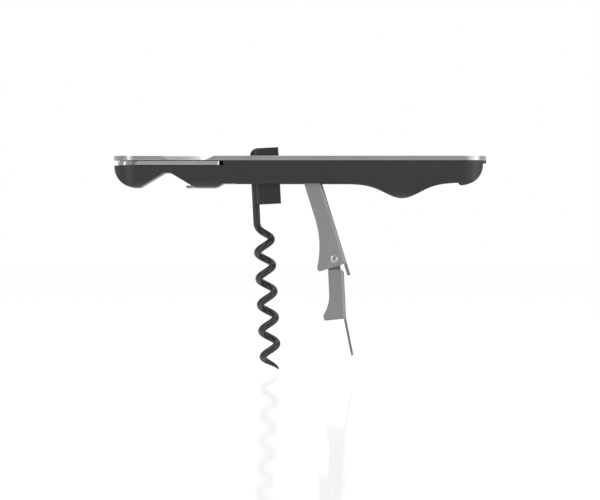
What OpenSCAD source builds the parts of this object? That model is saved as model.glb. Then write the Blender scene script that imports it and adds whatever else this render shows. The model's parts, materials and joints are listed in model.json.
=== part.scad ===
// Lever corkscrew with two-step lever, folding worm, folding foil knife and cap lifter.
// Origin: middle of the top plate's outer face. +X towards the nose, -Y the knife's side, +Z up.
// The worm and the lever hang open below the handle, and both fold up towards +X.

/* [Handle] */
// Length of the handle
handle_l = 130; // [129:1:160]
// Width of the handle
handle_w = 17; // [16.5:0.1:21]
// Height of the handle, from the plate's outer face to the flat bottom
handle_h = 9.6; // [9.2:0.1:11.6]
// Thickness of the steel top plate
plate_t = 1.6; // [1.2:0.1:2]
// Length of the belly in the bottom edge, as the spread of its curve
belly_spread = 8.6; // [7:0.1:11]
// Depth of the belly below the flat bottom
belly_d = 4.96; // [3:0.01:6]

/* [Worm] */
// Diameter of the worm's wire
wire_d = 2.5; // [2:0.1:2.6]
// Outside diameter of the helix
worm_od = 7.6; // [6.4:0.1:7.7]
// Rise of the helix in one turn
worm_pitch = 9.11; // [7.5:0.01:11]
// Distance from the pivot to the worm's tip
worm_reach = 68.3; // [55:0.1:68.5]
// Angle between the worm at rest and the square to the handle
worm_lean = 3; // [0:0.5:4]

/* [Lever] */
// Outside width of the lever's channel
lever_w = 11.9; // [11.7:0.1:12.4]
// Thickness of the lever's sheet
lever_t = 1; // [0.8:0.05:1.2]
// Length of the lever, from its pivot to the end of its hooks
lever_l = 34.9; // [34.5:0.1:36]
// Angle between the lever at rest and the square to the handle
lever_lean = 17.3; // [12:0.1:20]
// Thickness of the step's sheet
step_t = 0.8; // [0.6:0.05:0.9]
// Length of the step, from its rivets to the end of its hooks
step_l = 20.8; // [18:0.1:21]
// Length of the finger tongue beyond the step's hooks
tongue_l = 13.4; // [9:0.1:16]
// Width of the finger tongue
tongue_w = 8; // [6:0.1:8.2]

/* [Knife] */
// Thickness of the blade
blade_t = 1.35; // [1:0.05:1.4]
// Length of the knife, from its pivot to its tip
blade_l = 32.1; // [26:0.1:32.3]
// Width of the blade
blade_w = 8.8; // [7:0.1:10]

/* [Pins] */
// Diameter of the worm's pivot pin
worm_pin_d = 2.8; // [2:0.1:3.2]
// Diameter of the lever's pivot pin
lever_pin_d = 3; // [2:0.1:3.4]
// Diameter of the knife's pivot post
knife_post_d = 3; // [2.6:0.1:3.6]
// Diameter of the step's rivets
rivet_d = 2; // [1.6:0.1:2.4]

/* [Hidden] */
$fn = 64;

// Clearances
run_fit = 0.05;
seat_fit = 0.02;
side_gap = 0.25;
overcut = 1;

// Handle
end_x = handle_l / 2;
end_r = handle_w / 2;
end_c = end_x - end_r;
flat_z = -handle_h;
bump_r = 7.7;
bump_inset = 0.3;
bump_x = -end_x + bump_inset + bump_r;
slot_floor = -plate_t - blade_t - 0.4;
bump_z = slot_floor - bump_r;
notch_x = -end_x + 18.9;
notch_flat = 2;
notch_z = -5.86;
notch_rise = 31;
foot_z = bump_z + 0.2;
foot_x1 = -end_x + 36.35;
foot_top_x = -end_x + 38.4;
belly_x = end_x - 29.1;
belly_x0 = belly_x - 20;
belly_x1 = end_x - 9.4;
belly_rise = 0.5;
belly_step = 0.9;
nose_r = 7;
nose_c = [end_x - 8.4, -3];
nose_foot = [nose_c[0] - 1, nose_c[1] - nose_r + 0.7];
rim_t = 0.95;
rim_z = -plate_t - rim_t;
edge_r = 2;
bottom_z = flat_z - belly_d;

// Places along the handle, measured back from the nose, which the folded lever has to reach
lever_p = [end_x - 61.93, -4.78];
worm_p = [lever_p[0] - 16.12, -6.2];

// Knuckle block, in the worm's own frame: x across, z along, pivot at the origin
block_top = 8.95;
block_bottom = 10.6;
block_back = 4.1;
block_front = 5.9;
block_w = 10;
block_corner_r = 2.8;
block_toe_r = 2.5;
block_side_r = 3.2;
groove_top = 3;

// Channels
channel_x0 = worm_p[0] - 9.35;
channel_x1 = end_x - 7.7;
channel_w = lever_w + 2 * side_gap;
rivet_dome = 0.4;
well_w = lever_w + 2 * rivet_dome + 2 * side_gap;
nose_slot_w = tongue_w + 0.6;
window_x1 = worm_p[0] + 11.65;
window_w = block_w + 0.6;

// Liners
liner_t = 0.85;
liner_x0 = channel_x0 + 1.4;
liner_x1 = lever_p[0] + 6.4;
liner_ledge = 0.6;
liner_z0 = flat_z + liner_ledge;
liner_z1 = -plate_t - run_fit;
worm_washer_d = 6.4;
lever_washer_d = 5.2;
washer_gap = 0.1;

// Fasteners
screw_d = 1.6;
head_d = 2.8;
head_h = 0.9;
boss_d = 2.5;
boss_l = 4;
thread_play = 0.02;
head_seat = flat_z + 1.4;
drive_w = 1.5;
drive_depth = 0.5;
screw_end = 1.4;
hole_play = 0.3;
head_play = 0.2;
boss_x = [(foot_top_x + channel_x0) / 2, channel_x1 + 1.7];
nose_boss_half = sqrt(pow(end_r, 2) - pow(boss_x[1] - end_c, 2));
boss_y = [end_r - 2.8, (nose_slot_w / 2 + nose_boss_half) / 2];

// Knife
knife_p = [-end_x + 5.3, 0];
tang_r = 3.84;
blade_z1 = -plate_t - 0.25;
blade_z0 = blade_z1 - blade_t;
blade_base_x = knife_p[0] + 4.2;
spine_y = -end_r + 0.15;
blade_tip_r = 1.2;
blade_sweep_r = 26;
blade_sweep_l = 10.5;
bevel_angle = 14;
bevel_root = 0.5;
bevel_w = 3.2;
rear_wall_t = 2;
rear_wall_x = -end_x + 10;
slot_x1 = foot_top_x;
post_l = 4.6;
knife_washer_d = 6.4;
knife_head_seat = bump_z + 2.55;

// Nail scoop in the plate's front edge
scoop_x = -end_x + 25.85;
scoop_chord = 18.5;
scoop_top_d = 1.5;
scoop_low_d = 0.7;

// Cap lifter
lifter_t = 0.9;
lifter_w = 9;
lifter_proud = 0.35;
lifter_z0 = foot_z - lifter_proud;
lifter_tip_x = -end_x + 25.2;
lifter_back_x = -end_x + 35.8;
lifter_screw_x = lifter_back_x - 3;
lifter_screw_y = 2.3;
countersink_h = 0.55;
countersink_play = 0.15;
lifter_thread_l = 3.2;
lifter_drive_w = 1;

// Lever, in its own frame: x across (web side positive), z along, pivot at the origin
lever_half = 2.95;
lever_web_z = -0.8;
lever_bend_r = 1;
lever_curve_z = -17;
lever_hook_x = -7.4;
lever_tip_r = 0.7;
lever_tab = 4.3;
lever_tab_w = 7.4;
rivet_at = [-0.87, -32.3];
rivet_head_d = 2.6;

// Step, in its own frame: rivets at the origin
step_lean = 2.7;
step_ear_r = 2.6;
step_back = 2.2;
step_web_x = 3.2;
step_shoulder = -3.5;
step_web_z = -7.2;
step_curve_z = -12;
step_hook_x = -4.65;
step_tip_r = 0.6;
step_bend_r = 0.9;
step_chamfer = 1.1;
step_hook_drop = 0.4;
step_hook_h = 1.6;
tongue_corner_r = 1.6;
tongue_overlap = 0.3;
tongue_bend = 8.5;
ear_gap = 0.1;
ear_w = lever_w - 2 * lever_t - 2 * ear_gap;
joggle_h = 0.9;

// Worm, in its own frame
wire_r = wire_d / 2;
helix_r = worm_od / 2 - wire_r;
eye_gap = 0.2;
eye_r = worm_pin_d / 2 + wire_r + eye_gap;
helix_x = -0.65;
straight_l = 15;
lead_l = 6.5;
eye_sweep = 255;
point_turns = 0.5;
point_r = 0.12;
wire_sides = 10;
steps_per_turn = 20;

function arc(c, r, a0, a1, n = 16) =
    [for (i = [0:n]) c + r * [cos(a0 + (a1 - a0) * i / n), sin(a0 + (a1 - a0) * i / n)]];

// Points of a stretch that comes in from p1 and runs into an upright edge at p0
function flare(p0, p1, n = 14) =
    let (
        du = abs(p1[1] - p0[1]),
        dv = abs(p1[0] - p0[0]),
        r = (du * du + dv * dv) / (2 * dv),
        side = sign(p1[0] - p0[0])
    )
    [for (i = [n:-1:0]) let (s = du * i / n) [p0[0] + side * (r - sqrt(r * r - s * s)), p0[1] - s]];

function belly(x) =
    flat_z - belly_d * exp(-pow((x - belly_x) / belly_spread, 2))
    + belly_rise * max(0, x - belly_x) / (belly_x1 - belly_x);

// Frames of the moving parts
module worm_frame() {
    translate([worm_p[0], 0, worm_p[1]])
        rotate([0, -worm_lean, 0])
            children();
}

module lever_frame() {
    translate([lever_p[0], 0, lever_p[1]])
        rotate([0, -lever_lean, 0])
            children();
}

module step_frame() {
    lever_frame()
        translate([rivet_at[0], 0, rivet_at[1]])
            rotate([0, lever_lean - step_lean, 0])
                children();
}

// Stands a flat outline up in the XZ plane, from y0 to y1
module upright(y0, y1) {
    translate([0, y1, 0])
        rotate([90, 0, 0])
            linear_extrude(y1 - y0)
                children();
}

module upright_mid(w) {
    upright(-w / 2, w / 2)
        children();
}

// The same upright outline at both sides of the middle
module both_sides(y0, y1) {
    upright(y0, y1)
        children();
    upright(-y1, -y0)
        children();
}

// Pin along Y
module cross_pin(at, d, w) {
    translate([at[0], w / 2, at[1]])
        rotate([90, 0, 0])
            cylinder(h = w, d = d);
}

module plan_outline() {
    translate([-end_c, 0])
        circle(r = end_r);
    translate([end_c, 0])
        circle(r = end_r);
    square([2 * end_c, handle_w], center = true);
}

module box(x, y, z) {
    translate([x[0], y[0], z[0]])
        cube([x[1] - x[0], y[1] - y[0], z[1] - z[0]]);
}

module body_profile() {
    rise = (notch_z - bump_z) / tan(notch_rise);
    fall = (notch_z - foot_z) / tan(notch_rise);
    polygon(concat(
        [[-end_x + bump_inset, -plate_t]],
        arc([bump_x, slot_floor], bump_r, 180, 270, 20),
        [
            [notch_x - notch_flat / 2 - rise, bump_z],
            [notch_x - notch_flat / 2, notch_z],
            [notch_x + notch_flat / 2, notch_z],
            [notch_x + notch_flat / 2 + fall, foot_z],
            [foot_x1, foot_z],
            [foot_top_x, flat_z]
        ],
        [for (x = [belly_x0:belly_step:belly_x1]) [x, belly(x)]],
        [nose_foot],
        arc(nose_c, nose_r, 268, 360, 20),
        [
            [nose_c[0] + nose_r, rim_z],
            [end_x, rim_z],
            [end_x, -plate_t]
        ]
    ));
}

// Cross-section with rounded lower edges
module body_section(low_z) {
    translate([-end_r, low_z + edge_r])
        square([handle_w, -plate_t - low_z - edge_r]);
    translate([-end_r + edge_r, low_z])
        square([handle_w - 2 * edge_r, edge_r]);
    for (side = [-1, 1])
        translate([side * (end_r - edge_r), low_z + edge_r])
            circle(r = edge_r);
}

module body_section_bar(x0, x1, low_z) {
    translate([x0, 0, 0])
        rotate([90, 0, 90])
            linear_extrude(x1 - x0)
                body_section(low_z);
}

module body_blank() {
    intersection() {
        upright_mid(handle_w)
            body_profile();
        translate([0, 0, bottom_z - overcut])
            linear_extrude(-bottom_z + overcut - plate_t)
                plan_outline();
        union() {
            body_section_bar(-end_x, 0, bump_z);
            body_section_bar(0, end_x, bottom_z);
        }
    }
}

module top_plate() {
    scoop_r = (pow(scoop_chord / 2, 2) + pow(scoop_top_d, 2)) / (2 * scoop_top_d);
    color("silver")
        difference() {
            translate([0, 0, -plate_t])
                linear_extrude(plate_t)
                    plan_outline();
            box([channel_x0, window_x1], [-window_w / 2, window_w / 2], [-plate_t - overcut, overcut]);
            translate([scoop_x, -end_r - scoop_r + scoop_top_d, -plate_t])
                cylinder(h = plate_t, r1 = scoop_r - scoop_top_d + scoop_low_d, r2 = scoop_r, $fn = 180);
        }
}

module screw_hole(at, seat, boss_top, boss_low) {
    translate([at[0], at[1], bottom_z - overcut])
        cylinder(h = seat - bottom_z + overcut, d = head_d + head_play);
    translate([at[0], at[1], seat - overcut])
        cylinder(h = boss_top - seat + overcut, d = screw_d + hole_play);
    translate([at[0], at[1], boss_low])
        cylinder(h = boss_top - boss_low, d = boss_d + 2 * seat_fit);
}

module handle_body() {
    color([0.13, 0.135, 0.14])
        difference() {
            body_blank();
            // Channel for the knuckle block and the lever's ears, then the wider well for the lever
            box([channel_x0, liner_x1 + overcut], [-channel_w / 2, channel_w / 2],
                [bottom_z - overcut, 0]);
            box([liner_x1 + seat_fit, channel_x1], [-well_w / 2, well_w / 2], [bottom_z - overcut, 0]);
            // Pockets for the liners
            box([liner_x0 - seat_fit, liner_x1 + seat_fit],
                [-channel_w / 2 - liner_t - run_fit, channel_w / 2 + liner_t + run_fit],
                [liner_z0 - seat_fit, 0]);
            // Slot in the nose for the tongue, under the rim
            box([channel_x1 - overcut, end_x + overcut], [-nose_slot_w / 2, nose_slot_w / 2],
                [bottom_z - overcut, rim_z]);
            // Knife recess, open to the front and round the left end
            box([-end_x - overcut, slot_x1], [-end_r - overcut, end_r - rear_wall_t], [slot_floor, 0]);
            box([-end_x - overcut, rear_wall_x], [-end_r - overcut, end_r + overcut], [slot_floor, 0]);
            // Cap lifter's pocket, open below and towards the notch
            box([notch_x, lifter_back_x + seat_fit], [-lifter_w / 2 - seat_fit, lifter_w / 2 + seat_fit],
                [foot_z - overcut, lifter_z0 + lifter_t + seat_fit]);
            for (side = [-1, 1])
                translate([lifter_screw_x, side * lifter_screw_y, lifter_z0])
                    cylinder(h = countersink_h + lifter_thread_l + seat_fit, d = screw_d + 2 * thread_play);
            // Screws and bosses
            for (i = [0, 1])
                for (side = [-1, 1])
                    screw_hole([boss_x[i], side * boss_y[i]], head_seat, -plate_t + overcut,
                        -plate_t - boss_l - seat_fit);
            translate([knife_p[0], knife_p[1], bottom_z - overcut])
                cylinder(h = knife_head_seat - bottom_z + overcut, d = head_d + head_play);
            translate([knife_p[0], knife_p[1], knife_head_seat - overcut])
                cylinder(h = slot_floor - knife_head_seat + 2 * overcut, d = screw_d + hole_play);
            translate([knife_p[0], knife_p[1], -plate_t - post_l - seat_fit])
                cylinder(h = post_l, d = knife_post_d + 2 * seat_fit);
        }
}

module liner(side) {
    y0 = channel_w / 2;
    color("gainsboro")
        difference() {
            translate([0, side > 0 ? y0 + liner_t : -y0, 0])
                rotate([90, 0, 0])
                    linear_extrude(liner_t)
                        translate([liner_x0, liner_z0])
                            square([liner_x1 - liner_x0, liner_z1 - liner_z0]);
            cross_pin(worm_p, worm_pin_d + 2 * seat_fit, handle_w);
            cross_pin(lever_p, lever_pin_d + 2 * seat_fit, handle_w);
        }
}

module liner_front() {
    liner(-1);
}

module liner_rear() {
    liner(1);
}

module worm_pin() {
    color("silver")
        cross_pin(worm_p, worm_pin_d, channel_w + 2 * liner_t);
}

module lever_pin() {
    color("silver")
        cross_pin(lever_p, lever_pin_d, channel_w + 2 * liner_t);
}

// Ring along Y, at both sides of the middle
module side_rings(at, bore, d, y0, y1) {
    translate([at[0], 0, at[1]])
        both_sides(y0, y1)
            difference() {
                circle(d = d);
                circle(d = bore);
            }
}

module knuckle_washers() {
    color("gray")
        side_rings(worm_p, worm_pin_d + 2 * seat_fit, worm_washer_d, block_w / 2 + washer_gap,
            channel_w / 2 - seat_fit);
}

module lever_washers() {
    color("gray")
        side_rings(lever_p, lever_pin_d + 2 * seat_fit, lever_washer_d, lever_w / 2 + run_fit,
            channel_w / 2 - seat_fit);
}

module knife_post() {
    color("silver")
        translate([knife_p[0], knife_p[1], -plate_t - post_l])
            difference() {
                cylinder(h = post_l, d = knife_post_d);
                translate([0, 0, -overcut])
                    cylinder(h = post_l, d = screw_d + 2 * thread_play);
            }
}

module knife_washer() {
    color("gray")
        translate([knife_p[0], knife_p[1], blade_z1 + run_fit])
            difference() {
                cylinder(h = -plate_t - seat_fit - blade_z1 - run_fit, d = knife_washer_d);
                translate([0, 0, -overcut])
                    cylinder(h = 3 * overcut, d = knife_post_d + 2 * seat_fit);
            }
}

module screw(seat, top) {
    difference() {
        union() {
            translate([0, 0, seat - overcut / 2])
                cylinder(h = top - seat + overcut / 2, d = screw_d);
            translate([0, 0, seat - head_h])
                cylinder(h = head_h, d = head_d);
        }
        translate([0, 0, seat - head_h - overcut])
            cylinder(h = overcut + drive_depth, d = drive_w, $fn = 6);
    }
}

module knife_screw() {
    color("dimgray")
        translate([knife_p[0], knife_p[1], 0])
            screw(knife_head_seat, -plate_t - screw_end);
}

module at_bosses() {
    for (i = [0, 1])
        for (side = [-1, 1])
            translate([boss_x[i], side * boss_y[i], 0])
                children();
}

module plate_bosses() {
    color("silver")
        at_bosses()
            translate([0, 0, -plate_t - boss_l])
                difference() {
                    cylinder(h = boss_l, d = boss_d);
                    translate([0, 0, -overcut])
                        cylinder(h = boss_l, d = screw_d + 2 * thread_play);
                }
}

module body_screws() {
    color("dimgray")
        at_bosses()
            screw(head_seat, -plate_t - screw_end);
}

module lifter_screw_solid() {
    translate([0, 0, lifter_z0 + run_fit])
        cylinder(h = countersink_h, d1 = head_d, d2 = screw_d);
    translate([0, 0, lifter_z0 + countersink_h])
        cylinder(h = lifter_thread_l, d = screw_d);
}

module lifter_screws() {
    color("dimgray")
        for (side = [-1, 1])
            translate([lifter_screw_x, side * lifter_screw_y, 0])
                difference() {
                    lifter_screw_solid();
                    translate([0, 0, lifter_z0 - overcut])
                        cylinder(h = overcut + drive_depth, d = lifter_drive_w, $fn = 6);
                }
}

module cap_lifter() {
    color("silver")
        difference() {
            translate([0, 0, lifter_z0])
                linear_extrude(lifter_t)
                    union() {
                        translate([lifter_tip_x + lifter_w / 2, 0])
                            circle(d = lifter_w);
                        translate([lifter_tip_x + lifter_w / 2, -lifter_w / 2])
                            square([lifter_back_x - lifter_tip_x - lifter_w / 2, lifter_w]);
                    }
            for (side = [-1, 1])
                translate([lifter_screw_x, side * lifter_screw_y, lifter_z0]) {
                    translate([0, 0, -seat_fit])
                        cylinder(h = countersink_h + 6 * seat_fit, d1 = head_d + countersink_play,
                            d2 = screw_d + run_fit);
                    translate([0, 0, -overcut])
                        cylinder(h = 3, d = screw_d + 2 * thread_play);
                }
        }
}

module block_outline() {
    polygon(concat(
        [[block_front, block_top], [block_front, -block_bottom]],
        arc([-block_back + block_toe_r, -block_bottom + block_toe_r], block_toe_r, 270, 180, 10),
        arc([-block_back + block_corner_r, block_top - block_corner_r], block_corner_r, 180, 90, 10)
    ));
}

module block_plan() {
    translate([-block_back + block_side_r, -block_w / 2])
        square([block_front + block_back - block_side_r, block_w]);
    translate([-block_back, -block_w / 2 + block_side_r])
        square([block_side_r, block_w - 2 * block_side_r]);
    for (side = [-1, 1])
        translate([-block_back + block_side_r, side * (block_w / 2 - block_side_r)])
            circle(r = block_side_r);
}

module knuckle_block() {
    groove_r = wire_r + run_fit;
    color([0.12, 0.125, 0.13])
        worm_frame()
            difference() {
                intersection() {
                    upright_mid(block_w)
                        block_outline();
                    translate([0, 0, -block_bottom])
                        linear_extrude(block_top + block_bottom)
                            block_plan();
                }
                cross_pin([0, 0], worm_pin_d + 2 * run_fit, 2 * block_w);
                cross_pin([0, 0], 2 * (eye_r + groove_r), 2 * groove_r + run_fit);
                // Groove for the shank and its loop, open at the back
                translate([-eye_r, 0, -block_bottom - overcut])
                    linear_extrude(block_bottom + overcut + groove_top)
                        union() {
                            circle(r = groove_r);
                            translate([-block_back, -groove_r])
                                square([block_back, 2 * groove_r]);
                        }
            }
}

// Share of the lead-in that is done at a distance s along the worm
function lead(s) = min(1, max(0, (s - straight_l) / lead_l));
function turn_at(s) =
    360 / worm_pitch * (s <= straight_l + lead_l
        ? lead_l * pow(lead(s), 2) / 2
        : s - straight_l - lead_l / 2);
function coil_r(s) =
    let (f = lead(s), ease = f * f * (3 - 2 * f))
    (eye_r + helix_x) * (1 - ease) + helix_r * ease;
function coil_point(s) =
    [helix_x - coil_r(s) * cos(turn_at(s)), coil_r(s) * sin(turn_at(s)), -s];

worm_steps = ceil((worm_reach - straight_l) / worm_pitch * steps_per_turn);
worm_step = (worm_reach - straight_l) / worm_steps;
eye_steps = 24;
eye_path = [for (i = [0:eye_steps - 1])
    let (a = 180 - eye_sweep * (1 - i / eye_steps)) eye_r * [cos(a), 0, sin(a)]];
shank_path = [for (s = [0:straight_l / 3:straight_l - 0.1]) [-eye_r, 0, -s]];
coil_path = [for (i = [0:worm_steps]) coil_point(straight_l + i * worm_step)];
worm_path = concat(eye_path, shank_path, coil_path);

function thickness(i) =
    let (left = (len(worm_path) - 1 - i) * worm_step / worm_pitch)
    left >= point_turns ? wire_r : point_r + (wire_r - point_r) * left / point_turns;

function unit(v) = v / norm(v);
function run_at(p, i) = unit(p[min(i + 1, len(p) - 1)] - p[max(i - 1, 0)]);

// Rings square to the path; each ring's first side is carried on from the ring before
function side_at(p, i, before) = let (t = run_at(p, i)) unit(before - (before * t) * t);
function sides(p, i = 0, before = [0, 1, 0], done = []) =
    i == len(p) ? done : let (s = side_at(p, i, before)) sides(p, i + 1, s, concat(done, [s]));

module swept_wire(path, n) {
    side = sides(path);
    rings = [for (i = [0:len(path) - 1])
        let (t = run_at(path, i), a = side[i], b = cross(t, a))
        for (k = [0:n - 1])
            path[i] + thickness(i) * (cos(360 * k / n) * a + sin(360 * k / n) * b)];
    last = len(path) - 1;
    walls = [for (i = [0:last - 1]) for (k = [0:n - 1])
        let (j = (k + 1) % n)
        [i * n + k, (i + 1) * n + k, (i + 1) * n + j, i * n + j]];
    polyhedron(
        points = rings,
        faces = concat(walls, [[for (k = [0:n - 1]) k]], [[for (k = [n - 1:-1:0]) last * n + k]])
    );
}

module worm() {
    color([0.16, 0.17, 0.175])
        worm_frame()
            swept_wire(worm_path, wire_sides);
}

module lever_side() {
    tip_z = -lever_l + lever_tip_r;
    polygon(concat(
        [[lever_half, 0], [lever_half, -lever_l]],
        arc([lever_hook_x + lever_tip_r, tip_z], lever_tip_r, 270, 190, 8),
        flare([-lever_half, lever_curve_z], [lever_hook_x, -lever_l + 2 * lever_tip_r]),
        [[-lever_half, 0]]
    ));
    circle(r = lever_half);
}

// Channel section with rounded outer bends, along Z
module bent_section(x1, w, bend_r, depth) {
    translate([x1 - depth, -w / 2])
        square([depth - bend_r, w]);
    translate([x1 - bend_r, -w / 2 + bend_r])
        square([bend_r, w - 2 * bend_r]);
    for (side = [-1, 1])
        translate([x1 - bend_r, side * (w / 2 - bend_r)])
            circle(r = bend_r);
}

module lever_arm() {
    color([0.72, 0.73, 0.74])
        lever_frame()
            difference() {
                union() {
                    intersection() {
                        union() {
                            both_sides(lever_w / 2 - lever_t, lever_w / 2)
                                lever_side();
                            box([lever_half - lever_t, lever_half], [-lever_w / 2, lever_w / 2],
                                [-lever_l, lever_web_z]);
                        }
                        translate([0, 0, -lever_l - overcut])
                            linear_extrude(lever_l + 2 * lever_half + overcut)
                                bent_section(lever_half, lever_w, lever_bend_r, 2 * worm_od);
                    }
                    box([lever_half - lever_t, lever_half], [-lever_tab_w / 2, lever_tab_w / 2],
                        [-lever_l - lever_tab, -lever_l + overcut]);
                }
                cross_pin([0, 0], lever_pin_d + 2 * run_fit, 2 * lever_w);
                cross_pin(rivet_at, rivet_d + 2 * seat_fit, 2 * lever_w);
            }
}

module rivet() {
    dome_r = (pow(rivet_head_d / 2, 2) + pow(rivet_dome, 2)) / (2 * rivet_dome);
    y0 = ear_w / 2 - step_t;
    y1 = lever_w / 2;
    translate([0, 0, y0])
        cylinder(h = y1 - y0, d = rivet_d);
    intersection() {
        translate([0, 0, y1 + rivet_dome - dome_r])
            sphere(r = dome_r);
        translate([0, 0, y1])
            cylinder(h = dome_r, d = 2 * rivet_head_d);
    }
}

module step_rivets() {
    color("gainsboro")
        lever_frame()
            translate([rivet_at[0], 0, rivet_at[1]])
                for (side = [-1, 1])
                    rotate([-90 * side, 0, 0])
                        rivet();
}

module step_side() {
    low = -step_l - step_hook_drop;
    polygon(concat(
        [
            [-step_back, step_shoulder],
            [step_web_x - step_chamfer, step_shoulder],
            [step_web_x, step_shoulder - step_chamfer],
            [step_web_x, -step_l],
        ],
        arc([step_hook_x + step_tip_r + 0.2, low + step_tip_r], step_tip_r, 270, 190, 6),
        flare([-step_back, step_curve_z], [step_hook_x, low + step_hook_h])
    ));
}

module step_ear() {
    circle(r = step_ear_r);
    translate([-step_back, step_shoulder - joggle_h])
        square([step_back + step_ear_r - 0.5, joggle_h - step_shoulder]);
}

module step_arm() {
    color([0.70, 0.71, 0.72])
        step_frame()
            difference() {
                union() {
                    both_sides(ear_w / 2 - step_t, ear_w / 2)
                        step_ear();
                    // Joggle from the ears out to the cheeks
                    both_sides(ear_w / 2 - step_t, lever_w / 2)
                        intersection() {
                            step_side();
                            translate([-step_back, step_shoulder - joggle_h])
                                square([2 * step_back + 0.6, 2 * joggle_h]);
                        }
                    intersection() {
                        union() {
                            both_sides(lever_w / 2 - step_t, lever_w / 2)
                                step_side();
                            box([step_web_x - step_t, step_web_x], [-lever_w / 2, lever_w / 2],
                                [-step_l, step_web_z]);
                        }
                        translate([0, 0, -step_l - overcut])
                            linear_extrude(step_l + overcut)
                                bent_section(step_web_x, lever_w, step_bend_r, 2 * worm_od);
                    }
                    // Finger tongue, bent outwards
                    translate([step_web_x, 0, -step_l + tongue_overlap])
                        rotate([0, -tongue_bend, 0])
                            translate([-step_t, 0, 0])
                                tongue();
                }
                cross_pin([0, 0], rivet_d + 2 * run_fit, 2 * lever_w);
            }
}

module tongue() {
    corner = tongue_corner_r;
    rotate([0, 90, 0])
        linear_extrude(step_t)
            union() {
                translate([0, -tongue_w / 2])
                    square([tongue_l - corner, tongue_w]);
                translate([0, -tongue_w / 2 + corner])
                    square([tongue_l, tongue_w - 2 * corner]);
                for (side = [-1, 1])
                    translate([tongue_l - corner, side * (tongue_w / 2 - corner)])
                        circle(r = corner);
            }
}

// The blade seen from above: straight spine at the handle's front face, curved edge inside
module blade_outline() {
    tip = knife_p[0] + blade_l;
    edge_y = spine_y + blade_w;
    polygon(concat(
        [[blade_base_x, spine_y]],
        arc([tip - blade_tip_r, spine_y + blade_tip_r], blade_tip_r, 270, 340, 6),
        arc([tip - blade_sweep_l, edge_y - blade_sweep_r], blade_sweep_r, 66, 90, 10),
        [
            [blade_base_x + 3, edge_y],
            [knife_p[0] + 2, tang_r - 0.6],
            [knife_p[0], 0]
        ]
    ));
    translate(knife_p)
        circle(r = tang_r);
}

module knife_blade() {
    color([0.8, 0.81, 0.82])
        difference() {
            translate([0, 0, blade_z0])
                linear_extrude(blade_t)
                    blade_outline();
            translate([knife_p[0], knife_p[1], blade_z0 - overcut])
                cylinder(h = blade_t + 2 * overcut, d = knife_post_d + 2 * run_fit);
            // Ground bevel along the cutting edge
            translate([blade_base_x + 3.4, spine_y + blade_w - bevel_w, blade_z0 + bevel_root])
                rotate([-bevel_angle, 0, 0])
                    translate([0, 0, blade_t - bevel_root])
                        cube([blade_l, 2 * bevel_w, 2]);
        }
}

top_plate();
handle_body();
liner_front();
liner_rear();
worm_pin();
lever_pin();
knife_post();
knife_washer();
knife_screw();
plate_bosses();
body_screws();
cap_lifter();
lifter_screws();
knuckle_washers();
lever_washers();
knuckle_block();
worm();
lever_arm();
step_rivets();
step_arm();
knife_blade();
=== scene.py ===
import json
import math

import bmesh
import bpy
from mathutils import Matrix, Vector

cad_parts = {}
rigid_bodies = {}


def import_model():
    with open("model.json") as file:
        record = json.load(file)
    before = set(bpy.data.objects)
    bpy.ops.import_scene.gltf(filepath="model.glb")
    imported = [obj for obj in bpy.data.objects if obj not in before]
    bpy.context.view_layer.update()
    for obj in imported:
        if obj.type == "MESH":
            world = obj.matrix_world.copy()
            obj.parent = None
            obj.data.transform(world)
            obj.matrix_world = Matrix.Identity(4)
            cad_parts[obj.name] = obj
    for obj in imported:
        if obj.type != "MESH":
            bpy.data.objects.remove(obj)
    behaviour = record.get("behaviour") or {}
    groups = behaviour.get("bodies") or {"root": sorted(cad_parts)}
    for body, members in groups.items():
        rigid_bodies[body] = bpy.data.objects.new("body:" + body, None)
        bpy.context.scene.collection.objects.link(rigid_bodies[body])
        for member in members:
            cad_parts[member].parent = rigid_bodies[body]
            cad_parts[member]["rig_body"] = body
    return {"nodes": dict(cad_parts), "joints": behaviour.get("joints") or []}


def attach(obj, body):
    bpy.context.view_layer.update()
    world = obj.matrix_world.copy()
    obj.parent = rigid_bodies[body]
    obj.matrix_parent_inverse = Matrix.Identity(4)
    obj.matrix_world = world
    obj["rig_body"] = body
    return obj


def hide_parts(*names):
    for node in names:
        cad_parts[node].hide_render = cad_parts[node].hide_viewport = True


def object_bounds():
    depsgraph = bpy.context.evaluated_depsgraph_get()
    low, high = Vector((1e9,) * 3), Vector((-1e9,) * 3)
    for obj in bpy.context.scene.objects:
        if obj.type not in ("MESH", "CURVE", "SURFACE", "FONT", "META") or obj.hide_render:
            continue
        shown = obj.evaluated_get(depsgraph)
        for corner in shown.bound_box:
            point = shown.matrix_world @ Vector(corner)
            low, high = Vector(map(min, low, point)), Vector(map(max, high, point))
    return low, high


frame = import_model()
cad_low, cad_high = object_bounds()

MM = 0.001
TURN = 2 * math.pi

joints = {joint["name"]: joint for joint in frame["joints"]}


# Node kit

class Signal:
    """A socket in a tree of nodes, with the arithmetic that the finishes and shapes use."""

    def __init__(self, owner, socket):
        self.owner = owner
        self.socket = socket

    def math(self, operation, first, second=0.0):
        return self.owner.add("ShaderNodeMath", {"operation": operation}, {0: first, 1: second})

    def __add__(self, other):
        return self.math("ADD", self, other)

    __radd__ = __add__

    def __sub__(self, other):
        return self.math("SUBTRACT", self, other)

    def __rsub__(self, other):
        return self.math("SUBTRACT", other, self)

    def __mul__(self, other):
        return self.math("MULTIPLY", self, other)

    __rmul__ = __mul__

    def __truediv__(self, other):
        return self.math("DIVIDE", self, other)

    def __pow__(self, other):
        return self.math("POWER", self, other)

    def at_least(self, other):
        return self.math("MAXIMUM", self, other)

    def at_most(self, other):
        return self.math("MINIMUM", self, other)

    def absolute(self):
        return self.math("ABSOLUTE", self)

    def sin(self):
        return self.math("SINE", self)

    def cos(self):
        return self.math("COSINE", self)

    def sibling(self, name):
        """Another output of the node that this one comes from."""
        return Signal(self.owner, self.socket.node.outputs[name])


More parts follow.
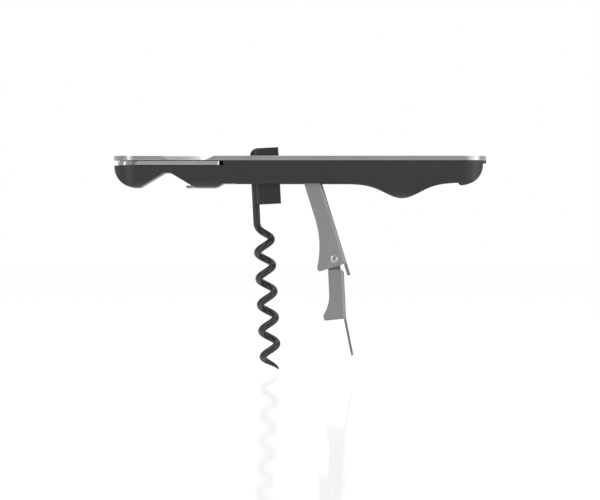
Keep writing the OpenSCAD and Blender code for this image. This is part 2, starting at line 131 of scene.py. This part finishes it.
class Nodes:
    """A tree of nodes, and the one method that adds to it."""

    def __init__(self, tree):
        self.tree = tree

    def add(self, kind, settings=None, inputs=None, out=0):
        node = self.tree.nodes.new(kind)
        for key, value in (settings or {}).items():
            setattr(node, key, value)
        for key, value in (inputs or {}).items():
            self.feed(node.inputs[key], value)
        return Signal(self, node.outputs[out]) if len(node.outputs) else node

    def feed(self, socket, value):
        if isinstance(value, Signal):
            self.tree.links.new(value.socket, socket)
        else:
            socket.default_value = value


class Finish(Nodes):
    """A material: a Principled shader with constant sockets, and what varies over the surface."""

    def __init__(self, name, **constants):
        self.material = bpy.data.materials.new(name)
        self.material.use_nodes = True
        super().__init__(self.material.node_tree)
        self.shader = self.tree.nodes["Principled BSDF"]
        for socket, value in constants.items():
            self.shader.inputs[socket.replace("_", " ")].default_value = value

    def place(self, scale=(1, 1, 1)):
        """Object coordinates, stretched by scale."""
        place = self.add("ShaderNodeTexCoord", out="Object")
        return self.add("ShaderNodeMapping", {}, {"Vector": place, "Scale": scale})

    def along(self, place, direction):
        """How far a place lies along a direction."""
        return self.add("ShaderNodeVectorMath", {"operation": "DOT_PRODUCT"}, {
            0: place, 1: direction}, out="Value")

    def noise(self, scale, stretch=(1, 1, 1), detail=3.0):
        return self.add("ShaderNodeTexNoise", {}, {
            "Vector": self.place(stretch), "Scale": scale, "Detail": detail, "Roughness": 0.6})

    def spread(self, noise, low=0.3, high=0.7):
        """A noise's usual values, drawn out to the whole of 0 to 1."""
        return self.add("ShaderNodeMapRange", {}, {0: noise, 1: low, 2: high, 3: 0.0, 4: 1.0})

    def mix(self, share, first, second):
        return self.add("ShaderNodeMix", {"data_type": "RGBA"}, {0: share, 6: first, 7: second}, out=2)

    def edges(self):
        """1 on the broken edges of a finished copy, 0 elsewhere."""
        return self.add("ShaderNodeAttribute", {"attribute_name": "edge"}, out="Fac")

    def colour(self, value):
        self.feed(self.shader.inputs["Base Color"], value)

    def roughness(self, value):
        self.feed(self.shader.inputs["Roughness"], value)

    def bump(self, height, strength, depth):
        bump = self.add("ShaderNodeBump", {}, {"Height": height, "Strength": strength, "Distance": depth})
        self.feed(self.shader.inputs["Normal"], bump)


# Finishes

MIDDLE = 0.5                # the mean of a noise
GRAIN_SHARE = 0.6           # of the steel's tone; the rest is cloudiness
STEEL_CLOUD = 90.0
PLASTIC_CLOUD = 70.0
COATING_CLOUD = 160.0
COATING_PEEL = 1600.0
OXIDE_CLOUD = 900.0
SOFT_EDGE = 0.1 * MM        # over which a painted highlight and painted shade begin and end
HIGHLIGHT_END = (0.15 * MM, 0.3 * MM)
SHADE_START = (0.2 * MM, 0.4 * MM)
JOINT_START = (-0.2 * MM, 0.1 * MM)
# How dark the painted shade makes the web's bend and the lever's lower end, and the painted shadow the joint
BEND_PAINTED_SHADE = 0.7
END_PAINTED_SHADE = 0.5
JOINT_PAINTED_SHADOW = 0.8
# The painted shade and the painted highlight line, as shares of the steel's level
PAINTED_SHADE_STEEL = 0.5            # shares of the steel's own level
PAINTED_HIGHLIGHT_STEEL = 1.35
# Lighter broken edges on steel: partly wear, partly a painted highlight
WORN_AND_SHEEN_STEEL = 1.5
# Lighter broken edges on plastic: partly rubbed wear, partly a painted highlight
RUBBED_AND_SHEEN_PLASTIC = 1.6


def grey(level, red=1.0, blue=1.0):
    """A near-neutral colour, with red and blue as shares of green."""
    return (level * red, level, level * blue, 1.0)


def ramp(value, low, high):
    """0 below low and 1 above high, in metres."""
    return ((value - low) / (high - low)).at_least(0.0).at_most(1.0)


def painted_lever_light(finish, pivot, lean, bend, cheek, top, bottom):
    """Masks along a pressed lever that hangs from its pivot at a lean in degrees: a painted highlight line
    along its web's bend, and painted shade on the bend and at the lower end with a painted shadow at the
    joint. Bend is where its web's bend begins, cheek the half-width where its side is flat, top and bottom
    the ends of that side."""
    place = finish.place()
    angle = math.radians(lean)
    over = Vector((math.cos(angle), 0.0, math.sin(angle)))
    up = Vector((-math.sin(angle), 0.0, math.cos(angle)))
    across = finish.along(place, over) - over.dot(pivot)
    height = finish.along(place, up) - up.dot(pivot)
    sideways = finish.along(place, (0.0, 1.0, 0.0)).absolute()
    beside = ramp(sideways, cheek - SOFT_EDGE, cheek)
    # Painted shade at the lever's lower end, below bottom
    painted_end_shade = 1.0 - ramp(height, bottom - SOFT_EDGE, bottom + SOFT_EDGE)
    # Painted shadow at the joint, above top
    joint = ramp(height, *(top + step for step in JOINT_START))
    # Painted shade on the web's bend
    shade = ramp(across, *(bend + step for step in SHADE_START))
    # The painted highlight: a light line where the web's bend begins
    highlight_end = 1.0 - ramp(across, *(bend + step for step in HIGHLIGHT_END))
    line = ramp(across, bend - SOFT_EDGE, bend) * highlight_end
    painted_shade = (shade * beside * BEND_PAINTED_SHADE).at_least(painted_end_shade * END_PAINTED_SHADE).at_least(joint * JOINT_PAINTED_SHADOW)
    return line * beside * (1.0 - painted_end_shade), painted_shade


def steel(name, level, roughness, grain, depth, patch=0.08, bright_edges=0.12, painted_light_place=None):
    """Satin steel: grain, faint cloudiness, and broken edges a little lighter, partly edge wear and partly a
    painted highlight.
    Level is its grey, grain the stretch of its noise, patch the share by which its tone varies; the last
    argument places a painted highlight line and painted shade along a pressed lever."""
    finish = Finish(name, Metallic=1.0)
    lines = finish.noise(1.0, stretch=grain, detail=4.0)
    cloud = finish.noise(STEEL_CLOUD, detail=2.0)
    shade = finish.spread(lines * GRAIN_SHARE + cloud * (1 - GRAIN_SHARE))
    tone = finish.mix(shade, grey(level * (1 - patch)), grey(level * (1 + patch)))
    # Broken edges lighter and glossier: partly edge wear, partly a painted highlight
    edge_wear_and_sheen = finish.edges() * bright_edges
    if painted_light_place:
        line, painted_shade = painted_lever_light(finish, **painted_light_place)
        # Painted shade: the bend, the lower end and the joint made darker
        tone = finish.mix(painted_shade, tone, grey(level * PAINTED_SHADE_STEEL))
        # Painted highlight: a light line along the web's bend
        tone = finish.mix(line, tone, grey(level * PAINTED_HIGHLIGHT_STEEL))
    finish.colour(finish.mix(edge_wear_and_sheen, tone, grey(min(1.0, level * WORN_AND_SHEEN_STEEL))))
    finish.roughness(roughness + (lines - MIDDLE) * 0.12 + cloud * 0.04 - edge_wear_and_sheen * 0.2)
    finish.bump(lines, 0.35, depth)
    return finish.material


def moulded(name, level, roughness, pit, depth):
    """Black moulded plastic: a fine spark-eroded texture, slight streaks of gloss, and broken edges lighter
    and glossier, partly rubbed wear and partly a painted highlight.
    """
    finish = Finish(name, Specular_IOR_Level=0.5)
    grain = finish.noise(pit, detail=2.0)
    cloud = finish.noise(PLASTIC_CLOUD, detail=3.0)
    # Broken edges lighter and glossier: partly rubbed wear, partly a painted highlight
    rubbed_and_sheen = finish.edges()
    tone = finish.mix(
        finish.spread(cloud), grey(level * 0.9, 0.93, 0.98), grey(level * 1.1, 0.93, 0.98))
    finish.colour(finish.mix(rubbed_and_sheen * 0.4, tone, grey(level * RUBBED_AND_SHEEN_PLASTIC, 0.95, 0.99)))
    finish.roughness(roughness + (cloud - MIDDLE) * 0.1 + grain * 0.06 - rubbed_and_sheen * 0.08)
    finish.bump(grain, 0.3, depth)
    return finish.material


def coated_wire():
    """Non-stick black on steel wire: smooth and satin."""
    finish = Finish("worm_coating", Specular_IOR_Level=0.45)
    peel = finish.noise(COATING_PEEL, detail=2.0)
    cloud = finish.noise(COATING_CLOUD, detail=2.0)
    finish.colour(finish.mix(finish.spread(cloud), grey(0.018, 0.95), grey(0.022, 0.95)))
    finish.roughness(0.3 + cloud * 0.08)
    finish.bump(peel, 0.15, 0.01 * MM)
    return finish.material


def black_oxide():
    """Blackened steel screws, a little patchy."""
    finish = Finish("screw_black", Metallic=1.0)
    cloud = finish.noise(OXIDE_CLOUD)
    finish.colour(finish.mix(cloud, grey(0.035), grey(0.07)))
    finish.roughness(0.38 + cloud * 0.15)
    finish.bump(cloud, 0.2, 0.02 * MM)
    return finish.material


LENGTHWISE = (70.0, 5200.0, 5200.0)
ACROSS = (5200.0, 90.0, 5200.0)
EVEN = (3600.0, 3600.0, 3600.0)

# Where the painted highlight line and painted shade go on the lever and on the step
LEVER_PAINTED_LIGHT = {
    "pivot": Vector(joints["lever_fold"]["pos_m"]), "lean": 17.3, "bend": 1.95 * MM,
    "cheek": 4.9 * MM, "top": 9 * MM, "bottom": -34.9 * MM}
STEP_PAINTED_LIGHT = {
    "pivot": Vector(joints["step_fold"]["pos_m"]), "lean": 2.7, "bend": 2.3 * MM,
    "cheek": 4.9 * MM, "top": -3.7 * MM, "bottom": -21.2 * MM}

plate_steel = steel("plate_steel", level=0.46, roughness=0.3, grain=LENGTHWISE, depth=0.012 * MM)
lever_steel = steel(
    "lever_steel", level=0.37, roughness=0.36, grain=EVEN, depth=0.012 * MM, patch=0.05,
    painted_light_place=LEVER_PAINTED_LIGHT)
step_steel = steel(
    "step_steel", level=0.35, roughness=0.36, grain=EVEN, depth=0.012 * MM, patch=0.05,
    painted_light_place=STEP_PAINTED_LIGHT)
rivet_steel = steel("rivet_steel", level=0.42, roughness=0.26, grain=EVEN, depth=0.004 * MM)
liner_steel = steel("liner_steel", level=0.5, roughness=0.34, grain=LENGTHWISE, depth=0.01 * MM)
lifter_steel = steel("lifter_steel", level=0.42, roughness=0.34, grain=LENGTHWISE, depth=0.01 * MM)
blade_steel = steel("blade_steel", level=0.6, roughness=0.24, grain=ACROSS, depth=0.01 * MM)
pin_steel = steel("pin_steel", level=0.56, roughness=0.24, grain=EVEN, depth=0.004 * MM)
washer_steel = steel("washer_steel", level=0.45, roughness=0.3, grain=EVEN, depth=0.006 * MM)
body_plastic = moulded("body_plastic", level=0.018, roughness=0.42, pit=5200.0, depth=0.03 * MM)
block_plastic = moulded("block_plastic", level=0.017, roughness=0.36, pit=6500.0, depth=0.02 * MM)
worm_coating = coated_wire()
screw_black = black_oxide()


# Pieces

MERGE_DISTANCE = 0.002 * MM
FLAT_ANGLE = 0.4            # degrees, under which neighbouring triangles are one face


def dress(piece, material):
    piece.data.materials.clear()
    piece.data.materials.append(material)


def linked(name, data):
    """A new object of this data, in the scene."""
    thing = bpy.data.objects.new(name, data)
    bpy.context.scene.collection.objects.link(thing)
    return thing


def baked(piece):
    """The piece with its modifiers made real."""
    view = bpy.context.evaluated_depsgraph_get()
    result = bpy.data.meshes.new_from_object(piece.evaluated_get(view), depsgraph=view)
    piece.modifiers.clear()
    piece.data = result
    return piece


def stand_in(piece, node):
    """Puts a piece in the place of a CAD part: on its body."""
    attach(piece, frame["nodes"][node]["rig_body"])
    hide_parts(node)


def joined_faces(node):
    """A copy of a CAD part's triangles, with its flat faces joined again."""
    mesh = frame["nodes"][node].data.copy()
    work = bmesh.new()
    work.from_mesh(mesh)
    bmesh.ops.remove_doubles(work, verts=work.verts, dist=MERGE_DISTANCE)
    bmesh.ops.dissolve_limit(
        work, angle_limit=math.radians(FLAT_ANGLE), verts=work.verts, edges=work.edges, delimit=set())
    work.to_mesh(mesh)
    work.free()
    return mesh


def mark_edges(mesh):
    """Turns the bevel's own material index into the edge attribute."""
    layer = mesh.attributes.new("edge", "FLOAT", "FACE")
    layer.data.foreach_set("value", [float(face.material_index) for face in mesh.polygons])
    for face in mesh.polygons:
        face.material_index = 0


def finished_copy(node, material, edge, break_angle=34, segments=3, sharp_angle=50):
    """A CAD part with its edges broken: edge is the width, break_angle the sharpness in degrees above which
    an edge is broken, sharp_angle that above which the shading isn't smoothed."""
    piece = linked(node + "_finished", joined_faces(node))
    piece.data.materials.clear()
    for _ in range(2):
        piece.data.materials.append(material)
    bevel = piece.modifiers.new("Edges", "BEVEL")
    bevel.width = edge
    bevel.segments = segments
    bevel.limit_method = "ANGLE"
    bevel.angle_limit = math.radians(break_angle)
    bevel.use_clamp_overlap = True
    bevel.material = 1
    bevel.miter_outer = "MITER_ARC"
    baked(piece)
    mark_edges(piece.data)
    dress(piece, material)
    piece.data.shade_smooth()
    piece.data.set_sharp_from_angle(angle=math.radians(sharp_angle))
    piece.modifiers.new("Flat faces", "WEIGHTED_NORMAL").keep_sharp = True
    baked(piece)
    stand_in(piece, node)


finished_copy("top_plate", plate_steel, 0.14 * MM, break_angle=12, segments=4, sharp_angle=26)
finished_copy("handle_body", body_plastic, 0.25 * MM, break_angle=22, sharp_angle=36)
finished_copy("knuckle_block", block_plastic, 0.35 * MM)
finished_copy("lever_arm", lever_steel, 0.09 * MM)
finished_copy("step_arm", step_steel, 0.08 * MM)
finished_copy("cap_lifter", lifter_steel, 0.15 * MM)
finished_copy("knife_blade", blade_steel, 0.08 * MM)

for material, nodes in (
    (liner_steel, ("liner_front", "liner_rear")),
    (pin_steel, ("worm_pin", "lever_pin", "knife_post", "plate_bosses")),
    (washer_steel, ("knife_washer", "knuckle_washers", "lever_washers")),
    (screw_black, ("knife_screw", "body_screws", "lifter_screws")),
    (rivet_steel, ("step_rivets",)),
    (worm_coating, ("worm",)),
):
    for node in nodes:
        dress(frame["nodes"][node], material)


# Worm: one round wire that loops round the pivot pin, runs straight down and then winds to its point

PATH_POINTS = 420
WIRE_SIDES = 24
WORM_LEAN = 3               # degrees, as it hangs
POINT_TAPER = 0.7           # under 1, the point stays full for longer


class Shape(Nodes):
    """A Geometry Nodes tree with named inputs, in metres, and the mesh that it makes."""

    def __init__(self, name, **sizes):
        super().__init__(bpy.data.node_groups.new(name, "GeometryNodeTree"))
        self.name = name
        self.sizes = sizes
        self.tree.interface.new_socket("Geometry", in_out="OUTPUT", socket_type="NodeSocketGeometry")
        for key in sizes:
            self.tree.interface.new_socket(key, in_out="INPUT", socket_type="NodeSocketFloat")
        entry = self.tree.nodes.new("NodeGroupInput")
        self.size = {key: Signal(self, entry.outputs[key]) for key in sizes}

    def made(self, geometry, material):
        """The tree's mesh, as a plain object."""
        real = self.add("GeometryNodeRealizeInstances", {}, {0: geometry})
        dressed = self.add("GeometryNodeSetMaterial", {}, {"Geometry": real, "Material": material})
        end = self.tree.nodes.new("NodeGroupOutput")
        self.tree.links.new(dressed.socket, end.inputs[0])
        piece = linked(self.name, bpy.data.meshes.new(self.name))
        modifier = piece.modifiers.new(self.name, "NODES")
        modifier.node_group = self.tree
        for socket in self.tree.interface.items_tree:
            if socket.in_out == "INPUT":
                modifier[socket.identifier] = float(self.sizes[socket.name])
        return baked(piece)


def wire_worm():
    shape = Shape(
        "worm_wire", wire_radius=1.25 * MM, helix_radius=2.55 * MM, helix_offset=-0.65 * MM,
        pitch=9.11 * MM, eye_radius=2.85 * MM, eye_length=12.6 * MM, straight=15 * MM,
        lead=6.5 * MM, reach=68.3 * MM, point_turns=0.5, point_radius=0.12 * MM)
    size = shape.size
    index = shape.add("GeometryNodeInputIndex")
    along = index * ((size["reach"] + size["eye_length"]) / (PATH_POINTS - 1)) - size["eye_length"]
    below = along.at_least(0.0)

    # The eye is the part before 0; the helix opens out over its lead, after the straight
    round_pin = along.at_most(0.0) / size["eye_radius"] + math.pi
    lead = ((below - size["straight"]) / size["lead"]).at_least(0.0).at_most(1.0)
    wound = size["lead"] * lead * lead * 0.5 + (below - size["straight"] - size["lead"]).at_least(0.0)
    angle = wound * TURN / size["pitch"]
    ease = lead * lead * (3.0 - 2.0 * lead)
    radius = (size["eye_radius"] + size["helix_offset"]) * (1.0 - ease) + size["helix_radius"] * ease
    x = size["helix_offset"] - radius * angle.cos() + size["eye_radius"] * (round_pin.cos() + 1.0)
    y = radius * angle.sin()
    z = size["eye_radius"] * round_pin.sin() - below

    left = ((size["reach"] - along) / (size["pitch"] * size["point_turns"])).at_most(1.0).at_least(0.0)
    thin = size["point_radius"] / size["wire_radius"]
    fullness = thin + (1.0 - thin) * left ** POINT_TAPER

    line = shape.add("GeometryNodeMeshLine", {}, {"Count": PATH_POINTS})
    curve = shape.add("GeometryNodeMeshToCurve", {}, {"Mesh": line})
    point = shape.add("ShaderNodeCombineXYZ", {}, {"X": x, "Y": y, "Z": z})
    path = shape.add("GeometryNodeSetPosition", {}, {"Geometry": curve, "Position": point})
    ring = shape.add("GeometryNodeCurvePrimitiveCircle", {}, {
        "Resolution": WIRE_SIDES, "Radius": size["wire_radius"]})
    wire = shape.add("GeometryNodeCurveToMesh", {}, {
        "Curve": path, "Profile Curve": ring, "Scale": fullness, "Fill Caps": True})
    smooth = shape.add("GeometryNodeSetShadeSmooth", {}, {"Geometry": wire})
    piece = shape.made(smooth, worm_coating)
    to_pin = Matrix.Translation(joints["worm_fold"]["pos_m"])
    piece.data.transform(to_pin @ Matrix.Rotation(math.radians(-WORM_LEAN), 4, "Y"))
    stand_in(piece, "worm")


wire_worm()


# Floor, light and camera

FLOOR_SIZE = 12.0
FLOOR_DROP = 1.1 * MM       # below the worm's point
FLOOR_MATT = 0.12
FLOOR_GLOW = 0.98
FLOOR_MIRROR = 0.25
FLOOR_BLUR = 0.05
FRONT_LIGHT = 0.28
CEILING_LIGHT = 0.72
SENSOR = 36.0
VIEW_WIDTH = 209.3 * MM
VIEW_DISTANCE = 1.2
VIEW_HEIGHT = -32.7 * MM


def stage_plane(name, size, low_z, material):
    mesh = bpy.data.meshes.new(name)
    half = size / 2
    mesh.from_pydata(
        [(-half, -half, low_z), (half, -half, low_z), (half, half, low_z), (-half, half, low_z)],
        [], [(0, 1, 2, 3)])
    mesh.materials.append(material)
    linked(name, mesh)


def pale_floor():
    """White and lit from below, with a faint mirror image that a low view doesn't strengthen."""
    material = bpy.data.materials.new("pale_floor")
    material.use_nodes = True
    material.node_tree.nodes.clear()
    floor = Nodes(material.node_tree)
    matt = floor.add("ShaderNodeBsdfDiffuse", {}, {"Color": grey(FLOOR_MATT)})
    glow = floor.add("ShaderNodeEmission", {}, {"Color": grey(1.0), "Strength": FLOOR_GLOW})
    lit = floor.add("ShaderNodeAddShader", {}, {0: matt, 1: glow})
    mirror = floor.add("ShaderNodeBsdfGlossy", {}, {"Roughness": FLOOR_BLUR})
    both = floor.add("ShaderNodeMixShader", {}, {"Fac": FLOOR_MIRROR, 1: lit, 2: mirror})
    floor.add("ShaderNodeOutputMaterial", {}, {"Surface": both})
    return material


def softbox(name, place, aim, width, height, watts):
    light = bpy.data.lights.new(name, "AREA")
    light.shape = "RECTANGLE"
    light.size = width
    light.size_y = height
    light.energy = watts
    box = linked(name, light)
    box.location = place
    box.rotation_euler = (Vector(aim) - Vector(place)).to_track_quat("-Z", "Y").to_euler()


def studio_world():
    """White to the camera; as light, a bright wall behind the tool, a softer ceiling and a dim front."""
    world = bpy.data.worlds.new("studio")
    world.use_nodes = True
    bpy.context.scene.world = world
    sky = Nodes(world.node_tree)
    direction = sky.add("ShaderNodeTexCoord", out="Generated")
    split = sky.add("ShaderNodeSeparateXYZ", {}, {"Vector": direction})
    wall = sky.add("ShaderNodeMapRange", {}, {
        0: split.sibling("Y"), 1: 0.1, 2: 0.9, 3: FRONT_LIGHT, 4: 1.0})
    ceiling = sky.add("ShaderNodeMapRange", {}, {
        0: split.sibling("Z"), 1: 0.1, 2: 0.8, 3: FRONT_LIGHT, 4: CEILING_LIGHT})
    seen = sky.add("ShaderNodeLightPath", out="Is Camera Ray")
    background = world.node_tree.nodes["Background"]
    background.inputs["Color"].default_value = grey(1.0)
    sky.feed(background.inputs["Strength"], wall.at_least(ceiling).at_least(seen))


stage_plane("floor", FLOOR_SIZE, cad_low.z - FLOOR_DROP, pale_floor())

middle = (cad_low + cad_high) / 2
softbox("top_box", (0.0, 0.05, 0.9), middle, width=1.2, height=0.6, watts=8.0)
softbox("left_strip", (-0.69, -0.72, 0.6), middle, width=0.16, height=1.7, watts=5.0)
softbox("right_box", (0.96, -0.26, 0.08), middle, width=0.5, height=0.8, watts=1.8)
softbox("near_card", (0.43, -0.27, 0.03), (0.05, 0.0, 0.0), width=0.4, height=0.4, watts=0.55)
studio_world()
bpy.context.scene.view_settings.view_transform = "Standard"

lens = bpy.data.cameras.new("camera")
lens.sensor_width = SENSOR
lens.lens = SENSOR * VIEW_DISTANCE / VIEW_WIDTH
camera = linked("camera", lens)
camera.location = (0.0, -VIEW_DISTANCE, VIEW_HEIGHT)
camera.rotation_euler = (math.radians(90), 0.0, 0.0)
bpy.context.scene.camera = camera
